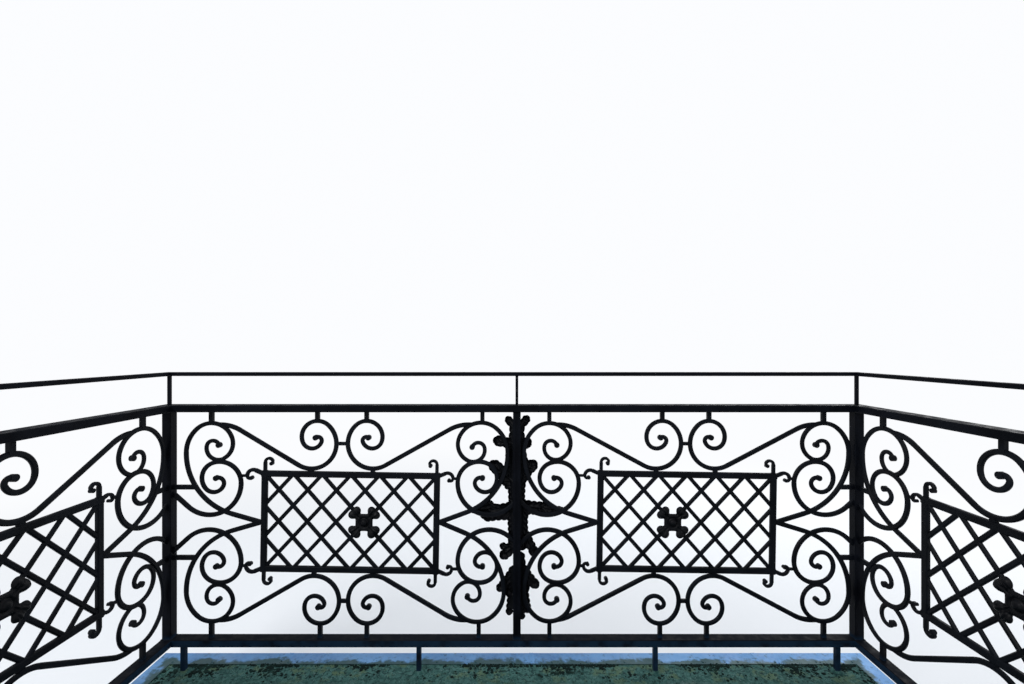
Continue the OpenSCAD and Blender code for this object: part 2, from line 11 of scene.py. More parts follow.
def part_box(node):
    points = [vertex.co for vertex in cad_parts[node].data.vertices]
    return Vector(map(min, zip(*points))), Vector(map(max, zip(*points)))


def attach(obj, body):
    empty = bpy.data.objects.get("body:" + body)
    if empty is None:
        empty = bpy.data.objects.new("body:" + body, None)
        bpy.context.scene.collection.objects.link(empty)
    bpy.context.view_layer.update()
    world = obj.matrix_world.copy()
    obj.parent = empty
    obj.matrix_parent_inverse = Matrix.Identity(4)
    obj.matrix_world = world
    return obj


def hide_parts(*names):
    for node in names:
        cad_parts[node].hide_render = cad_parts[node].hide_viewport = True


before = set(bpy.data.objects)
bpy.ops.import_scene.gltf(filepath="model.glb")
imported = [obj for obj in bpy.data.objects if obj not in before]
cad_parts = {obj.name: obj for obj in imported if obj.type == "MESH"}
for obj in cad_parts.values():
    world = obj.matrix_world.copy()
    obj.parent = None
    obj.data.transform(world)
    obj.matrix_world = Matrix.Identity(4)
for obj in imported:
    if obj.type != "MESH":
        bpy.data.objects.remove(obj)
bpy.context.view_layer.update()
scene = bpy.context.scene
dice = random.Random(7)

# View out of the doorway: the picture's size, horizon, vanishing point and
# focal length in pixels, then the eye's place in metres
PICTURE_W = 1024
PICTURE_H = 684
HORIZON_Y = 348.0
VANISH_X = 515.5
FOCAL_PX = 455.0
SENSOR_W = 36.0
EYE_X = 0.009
EYE_BACK = 1.669
EYE_HEIGHT = 1.1885

# Places on the balcony, in metres
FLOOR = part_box("floor_slab")
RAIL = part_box("front_bottom_rail")
TOP_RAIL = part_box("front_top_rail")
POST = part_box("centre_post")
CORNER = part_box("right_corner_post")
FLOOR_X = FLOOR[1][0]
FLOOR_Y = FLOOR[1][1]
RAIL_Y = (RAIL[0][1] + RAIL[1][1]) / 2
CORNER_X = (CORNER[0][0] + CORNER[1][0]) / 2
POST_X = (POST[0][0] + POST[1][0]) / 2
WALK_Z = FLOOR[1][2]
GROUND_Z = FLOOR[0][2]
PANEL_Z = RAIL[1][2]
TOP_Z = TOP_RAIL[0][2]
SHEET_T = 0.0015
FLASHING_W = 0.060
FLASHING_X = FLOOR_X - FLASHING_W
FLASHING_Y = FLOOR_Y - FLASHING_W
BAR_D = 0.012
LATTICE_D = 0.010
UP = Vector((0, 0, 1))

# Colours of the iron paint, of the dust and rust on it, and of the painted sky reflection on its
# low side faces
RAIL_DEEP = (0.0022, 0.0026, 0.0042)
RAIL_LIFT = (0.0046, 0.0056, 0.0088)
SCROLL_DEEP = (0.0024, 0.0030, 0.0046)
SCROLL_LIFT = (0.0050, 0.0064, 0.0096)
LEAF_DEEP = (0.0024, 0.0027, 0.0040)
LEAF_LIFT = (0.0056, 0.0064, 0.0080)
IRON_DUST = (0.0055, 0.0075, 0.0115)
# Painted sky reflection: a bluish light painted on the iron's low side faces
IRON_SKY_REFLECTION = (0.008, 0.021, 0.042)
IRON_RUST = (0.020, 0.011, 0.008)

# Colours of the slab, from bare stone to damp moss
STONE_DARK = (0.052, 0.098, 0.100)
STONE_PALE = (0.125, 0.185, 0.178)
STONE_GRAIN = (0.17, 0.225, 0.215)
ALGAE_DARK = (0.018, 0.060, 0.054)
ALGAE_PALE = (0.045, 0.118, 0.106)
OLIVE = (0.075, 0.118, 0.062)
CRUMBS = (0.155, 0.235, 0.225)
DAMP = (0.006, 0.020, 0.021)
UNDERSIDE = (0.16, 0.165, 0.155)
MOSS_DEEP = (0.0022, 0.0060, 0.0068)
MOSS_LIFT = (0.010, 0.024, 0.020)
MOSS_TIPS = (0.014, 0.036, 0.030)

# Colours of the flashing and of what has washed over it
ZINC_DULL = (0.050, 0.160, 0.365)
ZINC_BLOOM = (0.098, 0.258, 0.510)
ZINC_CRYSTAL = (0.17, 0.31, 0.50)
ZINC_HAZE = (0.160, 0.340, 0.600)
ZINC_STREAK = (0.055, 0.095, 0.13)
ZINC_FILM = (0.012, 0.044, 0.036)

# Where the painted sky reflection lies on the low iron, and how far the green film and the drips
# spread on the flashing, the film inward and the drips downward
REFLECTION_TOP = PANEL_Z + 0.02
REFLECTION_FULL = PANEL_Z - 0.004
FILM_RAGGED = -0.130
FILM_FROM = -0.034
FILM_FULL = -0.056
DRIP_FROM = WALK_Z - 0.034
DRIP_FULL = WALK_Z - 0.056

# Colours of the surroundings
FLOOR_COLOUR = (0.86, 0.87, 0.88, 1)
SKY_COLOUR = (0.88, 0.93, 1.0, 1)
BACKDROP = (0.97, 0.98, 1.0, 1)


# Node helpers


def material(name):
    """A new node material with its tree and shader."""
    mat = bpy.data.materials.new(name)
    mat.use_nodes = True
    return mat, mat.node_tree, mat.node_tree.nodes["Principled BSDF"]


def add(tree, kind, **values):
    """Adds a node; each value sets a property or the socket of that name."""
    n = tree.nodes.new(kind)
    for key, value in values.items():
        if hasattr(n, key):
            setattr(n, key, value)
        else:
            n.inputs[key].default_value = value
    return n


def join(tree, a, b):
    tree.links.new(a, b)


def noise_fac(tree, vector, scale, detail=5.0, roughness=0.55):
    n = add(tree, "ShaderNodeTexNoise", Scale=scale, Detail=detail, Roughness=roughness)
    join(tree, vector, n.inputs["Vector"])
    return n.outputs["Fac"]


def voronoi_distance(tree, vector, scale):
    n = add(tree, "ShaderNodeTexVoronoi", Scale=scale)
    join(tree, vector, n.inputs["Vector"])
    return n.outputs["Distance"]


def span(tree, value, low, high):
    """0 below low, 1 above high, smooth between them."""
    n = add(tree, "ShaderNodeMapRange", interpolation_type="SMOOTHSTEP")
    join(tree, value, n.inputs["Value"])
    n.inputs["From Min"].default_value = low
    n.inputs["From Max"].default_value = high
    return n.outputs["Result"]


def spots(tree, vector, scale, low, high, detail=5.0, roughness=0.55):
    """Patches of noise: 0 where it is below low and 1 where it is above high."""
    return span(tree, noise_fac(tree, vector, scale, detail, roughness), low, high)


def maths(tree, operation, a, b):
    n = add(tree, "ShaderNodeMath", operation=operation)
    for socket, value in zip(n.inputs, (a, b)):
        if isinstance(value, (int, float)):
            socket.default_value = value
        else:
            join(tree, value, socket)
    return n.outputs["Value"]


def times(tree, a, b):
    return maths(tree, "MULTIPLY", a, b)


def plus(tree, a, b):
    return maths(tree, "ADD", a, b)


def larger(tree, a, b):
    return maths(tree, "MAXIMUM", a, b)


def blend(tree, fac, a, b):
    """Colour a where fac is 0 and b where it is 1; a and b are colours or sockets."""
    n = add(tree, "ShaderNodeMix", data_type="RGBA")
    join(tree, fac, n.inputs["Factor"])
    for socket, value in ((n.inputs[6], a), (n.inputs[7], b)):
        if isinstance(value, tuple):
            socket.default_value = (*value, 1)
        else:
            join(tree, value, socket)
    return n.outputs[2]


def bump(tree, shader, *layers):
    """Stacks bump layers of (height socket, distance in metres) on the shader."""
    last = None
    for height, distance in layers:
        n = add(tree, "ShaderNodeBump", Strength=1.0, Distance=distance)
        join(tree, height, n.inputs["Height"])
        if last:
            join(tree, last, n.inputs["Normal"])
        last = n.outputs["Normal"]
    join(tree, last, shader.inputs["Normal"])


def surface(tree):
    """Object coordinates, the upward part of the normal and the coordinates one by one."""
    coord = add(tree, "ShaderNodeTexCoord").outputs["Object"]
    normal = add(tree, "ShaderNodeSeparateXYZ")
    join(tree, add(tree, "ShaderNodeNewGeometry").outputs["Normal"], normal.inputs["Vector"])
    place = add(tree, "ShaderNodeSeparateXYZ")
    join(tree, coord, place.inputs["Vector"])
    return coord, normal.outputs["Z"], place.outputs


def dull(shader, roughness, specular):
    """An evenly rough surface with this much sheen."""
    shader.inputs["Roughness"].default_value = roughness
    shader.inputs["Specular IOR Level"].default_value = specular


def seen(tree):
    """1 for camera, glossy and transmission rays, 0 for the rays that carry light."""
    path = add(tree, "ShaderNodeLightPath").outputs
    sight = larger(tree, path["Is Camera Ray"], path["Is Glossy Ray"])
    return larger(tree, sight, path["Is Transmission Ray"])


def mix_shaders(tree, fac, a, b, output):
    """Shader a where fac is 0 and b where it is 1, sent to the output node."""
    mixer = add(tree, "ShaderNodeMixShader")
    for socket, value in zip(mixer.inputs, (fac, a, b)):
        join(tree, value, socket)
    join(tree, mixer.outputs[0], tree.nodes[output].inputs["Surface"])


# Materials: noise scales are in cells per metre


def painted_iron(name, deep, lift, sheen, gloss=0.36, rust_from=0.66):
    """Old brush paint on forged iron: blotches, dust on top, a painted sky reflection on the low
    side faces, rust specks and a hammered face.
    """
    mat, tree, shader = material(name)
    coord, up, place = surface(tree)
    blotch = spots(tree, coord, 9.0, 0.35, 0.68)
    colour = blend(tree, blotch, deep, lift)
    dust = times(tree, span(tree, up, 0.55, 0.95), spots(tree, coord, 34.0, 0.30, 0.62))
    colour = blend(tree, times(tree, dust, 0.4), colour, IRON_DUST)
    # Painted sky reflection: bluish light painted in patches on the side faces of the bottom rail
    # and below it
    low = span(tree, place["Z"], REFLECTION_TOP, REFLECTION_FULL)
    painted_reflection = times(tree, low, span(tree, up, 0.75, 0.35))
    painted_reflection = times(tree, painted_reflection, spots(tree, coord, 17.0, 0.20, 0.60))
    colour = blend(tree, painted_reflection, colour, IRON_SKY_REFLECTION)
    speck = spots(tree, coord, 75.0, rust_from, rust_from + 0.06, 8.0, 0.65)
    rust = times(tree, spots(tree, coord, 4.5, 0.48, 0.62), speck)
    colour = blend(tree, rust, colour, IRON_RUST)
    join(tree, colour, shader.inputs["Base Color"])
    rough = plus(tree, times(tree, blotch, 0.14), gloss)
    rough = plus(tree, rough, times(tree, larger(tree, dust, rust), 0.30))
    join(tree, rough, shader.inputs["Roughness"])
    shader.inputs["Specular IOR Level"].default_value = sheen
    bump(tree, shader,
         (noise_fac(tree, coord, 48.0, 3.0), 0.0012),
         (noise_fac(tree, coord, 420.0, 2.0), 0.00012),
         (speck, 0.0002))
    return mat


def mossy_concrete():
    """Grey concrete with green algae, moss in its pores and dark damp specks."""
    mat, tree, shader = material("mossy_concrete")
    coord, up, _ = surface(tree)
    stone = blend(tree, spots(tree, coord, 5.0, 0.35, 0.65), STONE_DARK, STONE_PALE)
    grain = spots(tree, coord, 160.0, 0.35, 0.70, 4.0)
    stone = blend(tree, times(tree, grain, 0.4), stone, STONE_GRAIN)
    green = add(tree, "ShaderNodeAttribute", attribute_name="moss").outputs["Fac"]
    patch = plus(tree, green, times(tree, noise_fac(tree, coord, 22.0, 7.0, 0.62), 0.9))
    algae = blend(tree, spots(tree, coord, 60.0, 0.35, 0.65), ALGAE_DARK, ALGAE_PALE)
    colour = blend(tree, span(tree, patch, 0.62, 1.05), stone, algae)
    olive = times(tree, green, spots(tree, coord, 19.0, 0.50, 0.66, 5.0, 0.6))
    colour = blend(tree, times(tree, olive, 0.80), colour, OLIVE)
    crumbs = spots(tree, coord, 210.0, 0.58, 0.66, 5.0, 0.6)
    colour = blend(tree, times(tree, crumbs, 0.55), colour, CRUMBS)
    damp = times(tree, green, spots(tree, coord, 95.0, 0.52, 0.60, 7.0, 0.65))
    colour = blend(tree, damp, colour, DAMP)
    colour = blend(tree, span(tree, up, -0.6, 0.2), UNDERSIDE, colour)
    join(tree, colour, shader.inputs["Base Color"])
    dull(shader, 0.88, 0.12)
    bump(tree, shader,
         (noise_fac(tree, coord, 60.0, 8.0, 0.65), 0.0025),
         (voronoi_distance(tree, coord, 240.0), 0.0006))
    return mat


def moss_cushion():
    """Deep green moss with paler tips."""
    mat, tree, shader = material("moss")
    coord, _, _ = surface(tree)
    fuzz = spots(tree, coord, 420.0, 0.38, 0.66, 4.0, 0.7)
    colour = blend(tree, fuzz, MOSS_DEEP, MOSS_LIFT)
    colour = blend(tree, spots(tree, coord, 16.0, 0.50, 0.70), colour, MOSS_TIPS)
    join(tree, colour, shader.inputs["Base Color"])
    dull(shader, 0.95, 0.05)
    bump(tree, shader, (noise_fac(tree, coord, 700.0, 3.0, 0.7), 0.0012))
    return mat


def weathered_zinc():
    """Dull pale zinc with white bloom, rain streaks and a green film from the slab's joint."""
    mat, tree, shader = material("zinc_sheet")
    coord, _, place = surface(tree)
    bloom = spots(tree, coord, 13.0, 0.38, 0.66, 6.0, 0.6)
    colour = blend(tree, bloom, ZINC_DULL, ZINC_BLOOM)
    crystal = span(tree, voronoi_distance(tree, coord, 70.0), 0.1, 0.7)
    colour = blend(tree, times(tree, crystal, 0.25), colour, ZINC_CRYSTAL)
    haze = spots(tree, coord, 2.6, 0.46, 0.62, 2.0)
    colour = blend(tree, times(tree, haze, 0.45), colour, ZINC_HAZE)
    streak = add(tree, "ShaderNodeMapping")
    streak.inputs["Scale"].default_value = (55.0, 55.0, 5.0)
    join(tree, coord, streak.inputs["Vector"])
    lines = spots(tree, streak.outputs["Vector"], 1.0, 0.55, 0.72, 4.0)
    colour = blend(tree, times(tree, lines, 0.45), colour, ZINC_STREAK)
    sideways = maths(tree, "SUBTRACT", maths(tree, "ABSOLUTE", place["X"], 0.0), FLASHING_X)
    from_joint = larger(tree, sideways, maths(tree, "SUBTRACT", place["Y"], FLASHING_Y))
    fringe = times(tree, noise_fac(tree, coord, 17.0, 7.0, 0.62), FILM_RAGGED)
    film = span(tree, plus(tree, from_joint, fringe), FILM_FROM, FILM_FULL)
    dirt = spots(tree, coord, 48.0, 0.58, 0.70, 7.0, 0.66)
    drip = plus(tree, place["Z"], times(tree, lines, 0.03))
    drip = span(tree, drip, DRIP_FROM, DRIP_FULL)
    dirt = larger(tree, larger(tree, dirt, film), times(tree, drip, 0.6))
    colour = blend(tree, times(tree, dirt, 0.92), colour, ZINC_FILM)
    join(tree, colour, shader.inputs["Base Color"])
    shader.inputs["Metallic"].default_value = 0.35
    shader.inputs["Specular IOR Level"].default_value = 0.30
    join(tree, plus(tree, times(tree, bloom, 0.2), 0.42), shader.inputs["Roughness"])
    bump(tree, shader,
         (noise_fac(tree, coord, 11.0, 2.0), 0.006),
         (noise_fac(tree, coord, 200.0, 3.0), 0.0003))
    return mat


RAIL_IRON = painted_iron("rail_iron", RAIL_DEEP, RAIL_LIFT, sheen=0.03)
SCROLL_IRON = painted_iron("scroll_iron", SCROLL_DEEP, SCROLL_LIFT, sheen=0.06, gloss=0.38)
LEAF_IRON = painted_iron("leaf_iron", LEAF_DEEP, LEAF_LIFT, sheen=0.09, rust_from=0.60)
CONCRETE = mossy_concrete()
MOSS = moss_cushion()
ZINC = weathered_zinc()


def dress_cad():
    """Each solid piece takes the material of its kind."""
    rails = ("rail", "post", "hand_bar", "upright", "feet")
    for name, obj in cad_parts.items():
        if "flashing" in name:
            mat = ZINC
        elif any(word in name for word in rails):
            mat = RAIL_IRON
        else:
            mat = SCROLL_IRON
        obj.data.materials.clear()
        obj.data.materials.append(mat)


dress_cad()


# Meshes


def piece(name, verts, faces, mat, stands_for=(), smooth=True, thick=0.0):
    """Makes a mesh object that rides on the body and takes its finish from a slot."""
    mesh = bpy.data.meshes.new(name)
    mesh.from_pydata(verts, [], faces)
    mesh.validate()
    mesh.update()
    for polygon in mesh.polygons:
        polygon.use_smooth = smooth
    mesh.materials.append(mat)
    obj = bpy.data.objects.new(name, mesh)
    scene.collection.objects.link(obj)
    if thick:
        solid = obj.modifiers.new("thickness", "SOLIDIFY")
        solid.thickness = thick
        solid.offset = 0.0
    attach(obj, "root")
    if stands_for:
        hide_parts(*stands_for)
    return obj


def grid_faces(rows, cols, start=0, wrap=False):
    """Quads of a grid of vertices, rows by cols, closed around when wrap is set."""
    faces = []
    across = cols if wrap else cols - 1
    for i in range(rows - 1):
        for j in range(across):
            a = start + i * cols + j
            b = start + i * cols + (j + 1) % cols
            faces.append((a, b, b + cols, a + cols))
    return faces


def cap(faces, ring, sides, apex):
    """Closes a ring of vertices with triangles that meet at the apex."""
    for n in range(sides):
        faces.append((ring + n, ring + (n + 1) % sides, apex))


def fill_moss(obj, value_at):
    """Gives each vertex a value for how mossy it is."""
    green = obj.data.attributes.new("moss", "FLOAT", "POINT")
    for vertex, value in zip(obj.data.vertices, green.data):
        value.value = value_at(vertex.co)


def cut_sheet(xs, zs, depth):
    """Places and faces of the part of a grid where depth is positive, cut where it is nought."""
    flat, faces, found = [], [], {}

    def node(i, j):
        if (i, j) not in found:
            found[i, j] = len(flat)
            flat.append((xs[i], zs[j]))
        return found[i, j]

    def rim(i, j, m, n):
        key = (i, j, m, n) if (i, j) < (m, n) else (m, n, i, j)
        if key not in found:
            found[key] = len(flat)
            share = depth[i, j] / (depth[i, j] - depth[m, n])
            flat.append((xs[i] + (xs[m] - xs[i]) * share, zs[j] + (zs[n] - zs[j]) * share))
        return found[key]

    for i in range(len(xs) - 1):
        for j in range(len(zs) - 1):
            ring = ((i, j), (i + 1, j), (i + 1, j + 1), (i, j + 1))
            face = []
            for here, after in zip(ring, ring[1:] + ring[:1]):
                if depth[here] > 0:
                    face.append(node(*here))
                if (depth[here] > 0) != (depth[after] > 0):
                    face.append(rim(*here, *after))
            if len(face) > 2:
                faces.append(tuple(face))
    return np.array(flat).T, faces


MELT = 0.0018


def melt(depths):
    """Depth inside the union of forms, each corner between them rounded, and each form's share."""
    top = depths.max(axis=0)
    share = np.exp((depths - top) / MELT)
    total = share.sum(axis=0)
    return top + MELT * np.log(total), share / total


def dome_profile(distance):
    """1 in the middle, 0 at a distance of 1 and beyond, round between them."""
    return np.sqrt(np.clip(1 - distance ** 2, 0, 1))


def bell(distance):
    """1 in the middle and falling off to 0 on both sides."""
    return np.exp(-distance ** 2)


# Acanthus: lobes as (root x, root z, tip x, tip z, root radius, tip radius) in
# millimetres from the foot of the centre post, x away from the post
RIGHT_LOBES = [
    (14, 770, 34, 797, 12, 13), (14, 690, 36, 711, 16, 17), (16, 585, 56, 628, 24, 19),
    (12, 640, 14, 500, 26, 12), (12, 474, 96, 469, 29, 21), (96, 469, 166, 464, 19, 8),
    (70, 476, 94, 452, 13, 12), (12, 470, 18, 340, 28, 22), (30, 372, 64, 308, 17, 15),
    (14, 296, 14, 180, 12, 29), (20, 245, 66, 190, 18, 15), (16, 190, 38, 98, 22, 12),
    (12, 130, 18, 72, 15, 10), (13, 760, 13, 655, 11, 22),
]
LEFT_LOBES = [
    (12, 770, 30, 795, 12, 12), (14, 706, 68, 718, 18, 17), (20, 570, 82, 626, 32, 20),
    (12, 660, 14, 500, 27, 14), (14, 460, 106, 451, 33, 27), (104, 466, 162, 462, 16, 8),
    (84, 472, 110, 492, 12, 12), (70, 466, 104, 442, 14, 13), (12, 460, 14, 345, 23, 15),
    (16, 318, 50, 330, 10, 11), (16, 325, 46, 298, 20, 16), (14, 245, 14, 160, 12, 25),
    (20, 222, 60, 177, 18, 14), (14, 170, 28, 88, 18, 10), (13, 760, 13, 655, 11, 24),
]

# Leaf sheet, in metres: the grid that it is cut from, and where it meets the post
LEAF_CELL = 0.0017
LEAF_SHEET = 0.0020
LEAF_BACK = RAIL_Y + BAR_D / 2 + 0.0014
LEAF_SIDE_X = 0.0130
LEAF_REACH = 0.180
LEAF_FOOT = 0.045
LEAF_RISE = 0.782
LEAF_TUCK = 0.014
LEAF_TUCKED = 0.25

# Leaf edge: the waist between root and tip, the teeth and the leaflets of the tip
LEAF_GROW = 0.0020
WAIST = 0.10
TOOTH = 0.021
TOOTH_DEPTH = 0.0042
TOOTH_POWER = 0.7
TOOTH_LEVEL = 0.62
VEIN_SLOPE = 0.9
TIP_FROM = 0.15
TIP_FADE = 0.0022
LEAFLET_HUB = 0.35
LEAFLET_TURNS = 2.5
LEAFLET_DEPTH = 0.16
LEAFLET_LEVEL = 0.60

# Leaf relief: the pillow of the whole sheet, puffs between the veins, the middle
# groove, the rolled tip and the fan of its leaflets
PILLOW = 0.0110
PILLOW_RUN = 0.0080
RELIEF_RUN = 0.003
PUFF = 0.0036
PUFF_POWER = 0.8
PUFF_RUN = 0.006
GROOVE = 0.0030
GROOVE_HALF = 0.0026
ROLL = 0.24
ROLL_AT = 0.30
ROLL_LENGTH = 0.70
ROLL_WIDTH = 1.05
FAN = 0.0034
FAN_TIP_R = 0.016
FAN_RUN = 0.45


def lobe_fields(spec, x, z):
    """Depth inside one lobe, and its puffed, veined relief."""
    root = np.array(spec[0:2]) / 1000
    tip = np.array(spec[2:4]) / 1000
    root_r, tip_r = spec[4] / 1000, spec[5] / 1000
    length = float(np.hypot(*(tip - root)))
    axis = (tip - root) / length
    along = (x - root[0]) * axis[0] + (z - root[1]) * axis[1]
    off = np.abs((z - root[1]) * axis[0] - (x - root[0]) * axis[1])
    t = np.clip(along / length, 0, 1)
    radius = (root_r + (tip_r - root_r) * t) * (1 - WAIST * np.sin(np.pi * t))
    body = 1 / (1 + np.exp((along - length + TIP_FROM * tip_r) / TIP_FADE))
    beyond = along - length + LEAFLET_HUB * tip_r
    leaflet = np.abs(np.cos(LEAFLET_TURNS * np.arctan2(off, beyond)))

    tooth = np.abs(np.sin(np.pi * (along - VEIN_SLOPE * radius) / TOOTH)) ** TOOTH_POWER
    grow = TOOTH_DEPTH * (tooth - TOOTH_LEVEL) * body
    grow = grow + LEAFLET_DEPTH * tip_r * (leaflet ** TOOTH_POWER - LEAFLET_LEVEL) * (1 - body)
    depth = radius + LEAF_GROW + grow - np.hypot(along - t * length, off)

    puff = np.abs(np.sin(np.pi * (along - VEIN_SLOPE * off) / TOOTH)) ** PUFF_POWER
    puff = puff * np.clip(off / PUFF_RUN, 0, 1)
    groove = bell(off / GROOVE_HALF)
    lip = dome_profile((along - length - ROLL_AT * tip_r) / (ROLL_LENGTH * tip_r))
    roll = ROLL * tip_r * lip * dome_profile(off / (ROLL_WIDTH * tip_r))
    fan = FAN * (tip_r / FAN_TIP_R) * leaflet ** PUFF_POWER
    fan = fan * np.clip(np.hypot(off, beyond) / (FAN_RUN * tip_r), 0, 1)
    return depth, roll + body * (PUFF * puff - GROOVE * groove) + (1 - body) * fan


def leaf_fields(lobes, x, z):
    """Depth inside all the lobes melted together, and how far the beaten sheet stands out."""
    fields = [lobe_fields(spec, x, z) for spec in lobes]
    depth, shares = melt(np.array([f[0] for f in fields]))
    height = PILLOW * (1 - np.exp(-np.clip(depth, 0, 1) / PILLOW_RUN))
    for share, (_, relief) in zip(shares, fields):
        height += share * relief * np.clip(depth / RELIEF_RUN, 0, 1)
    free = np.clip((x - LEAF_SIDE_X) / LEAF_TUCK, 0, 1)
    return depth, height * (LEAF_TUCKED + (1 - LEAF_TUCKED) * free * free * (3 - 2 * free))


def acanthus(name, node, lobes, side):
    """The beaten sheet of one side, which ends inside the post."""
    xs = LEAF_SIDE_X + LEAF_CELL * np.arange(round(LEAF_REACH / LEAF_CELL))
    zs = LEAF_FOOT + LEAF_CELL * np.arange(round(LEAF_RISE / LEAF_CELL))
    depth, _ = leaf_fields(lobes, *np.meshgrid(xs, zs, indexing="ij"))
    (x, z), faces = cut_sheet(xs, zs, depth)
    _, height = leaf_fields(lobes, x, z)
    verts = [(POST_X + side * float(a), LEAF_BACK + float(h), PANEL_Z + float(b))
             for a, b, h in zip(x, z, height)]
    if side > 0:
        faces = [face[::-1] for face in faces]
    piece(name, verts, faces, LEAF_IRON, (node,), thick=LEAF_SHEET)


acanthus("acanthus_leaves_right", "right_acanthus", RIGHT_LOBES, 1)
acanthus("acanthus_leaves_left", "left_acanthus", LEFT_LOBES, -1)


# Rosettes: x or y of their middles, the height of the lattice's middle and its tilt
ROSETTE_RIGHT_X = 0.583
ROSETTE_LEFT_X = -0.544
ROSETTE_SIDE_Y = 0.6658
FIELD_MID_Z = PANEL_Z + 0.423
LATTICE_TILT = math.radians(0.9)

# Rosette outline: a square heart, two knobs for each petal and the web behind them
ROSETTE_CELL = 0.0014
ROSETTE_CELLS = 44
ROSETTE_SHEET = 0.0016
HEART_HALF = 0.0310
HEART_CORNER = 0.005
KNOB_R = 0.0140
KNOBS = ((0.0270, 0.0436), (0.0436, 0.0270))
WEB_AT = 0.0325
WEB_R = 0.0185

# Rosette relief: its bed and swell, the knobs, the crease and flutes of a petal,
# the ring round the boss and the boss
BED = 0.0022
SWELL = 0.0070
SWELL_RUN = 0.006
KNOB_RISE = 0.0045
PETAL_FROM = 0.019
PETAL_RUN = 0.010
CREASE = 0.0036
CREASE_HALF = 0.0030
FLUTE = 0.0009
FLUTES = 34
FLUTE_RUN = 0.004
RING = 0.0040
RING_R = 0.0165
RING_HALF = 0.0030
BOSS = 0.0075
BOSS_R = 0.0118


def rosette_fields(x, z):
    """Depth inside the square heart with four two-knobbed petals, and the relief on it."""
    ax, az = np.abs(x), np.abs(z)
    corner = np.hypot(np.clip(ax - HEART_HALF + HEART_CORNER, 0, 1),
                      np.clip(az - HEART_HALF + HEART_CORNER, 0, 1))
    heart = np.minimum(HEART_CORNER - corner, HEART_HALF - np.maximum(ax, az))
    knobs = [KNOB_R - np.hypot(ax - kx, az - kz) for kx, kz in KNOBS]
    web = WEB_R - np.hypot(ax - WEB_AT, az - WEB_AT)
    depth, _ = melt(np.array([heart, web, *knobs]))
    r = np.hypot(x, z)
    height = BED + SWELL * (1 - np.exp(-np.clip(depth, 0, 1) / SWELL_RUN))
    for knob in knobs:
        height += KNOB_RISE * dome_profile(1 - np.clip(knob, 0, KNOB_R) / KNOB_R)
    turn = np.arctan2(az, ax) - np.pi / 4
    petal = np.clip((r - PETAL_FROM) / PETAL_RUN, 0, 1)
    height -= petal * CREASE * bell(turn * r / CREASE_HALF)
    height += petal * FLUTE * np.cos(FLUTES * turn) * np.clip(depth / FLUTE_RUN, 0, 1)
    height -= RING * bell((r - RING_R) / RING_HALF)
    height += BOSS * dome_profile(r / BOSS_R)
    return depth, height


def rosette(verts, faces, centre, right, out, tilt):
    """One rosette on its lattice, turned with it by the tilt."""
    steps = ROSETTE_CELL * np.arange(-ROSETTE_CELLS, ROSETTE_CELLS + 1)
    depth, _ = rosette_fields(*np.meshgrid(steps, steps, indexing="ij"))
    (x, z), cells = cut_sheet(steps, steps, depth)
    _, height = rosette_fields(x, z)
    start = len(verts)
    for a, b, h in zip(x, z, height):
        across = float(a * math.cos(tilt) - b * math.sin(tilt))
        rise = float(a * math.sin(tilt) + b * math.cos(tilt))
        verts.append(tuple(centre + right * across + UP * rise + out * float(h)))
    faces.extend(tuple(start + n for n in cell) for cell in cells)


def rosettes():
    """Two rosettes in front and one on each side, on the lattices' inner faces."""
    verts, faces = [], []
    back = LATTICE_D / 2
    for x in (ROSETTE_RIGHT_X, ROSETTE_LEFT_X):
        centre = Vector((x, RAIL_Y - back, FIELD_MID_Z))
        rosette(verts, faces, centre, Vector((1, 0, 0)), Vector((0, -1, 0)), -LATTICE_TILT)
    for side in (-1, 1):
        centre = Vector((side * (CORNER_X - back), ROSETTE_SIDE_Y, FIELD_MID_Z))
        rosette(verts, faces, centre, Vector((0, -side, 0)), Vector((-side, 0, 0)), 0.0)
    piece("rosette_petals", verts, faces, LEAF_IRON, ("rosettes",),
          thick=ROSETTE_SHEET)


rosettes()


# Slab: the unevenness of its faces and the chips along its edges, in metres
SLAB_STEP = 0.012
SLAB_WEAR = 0.0008
SLAB_WAVE = 0.0010
WAVES_PER_M = 9
WAVE_FRACTAL = (1.0, 2.1, 4)
CHIP_LEAST = 0.0025
CHIP_MORE = 0.0045
CHIPS_PER_M = 14
CHIP_SHIFT = Vector((3, 1, 7))

# How wide the mossy strips below the railing are, and the moss elsewhere
DRIP_FRONT = 0.16
DRIP_SIDE = 0.14
WASH_LEVEL = 0.40
WASH_SWING = 0.45
WASH_PER_M = 3.0
PATCH_SWING = 0.25
PATCHES_PER_M = 11.0


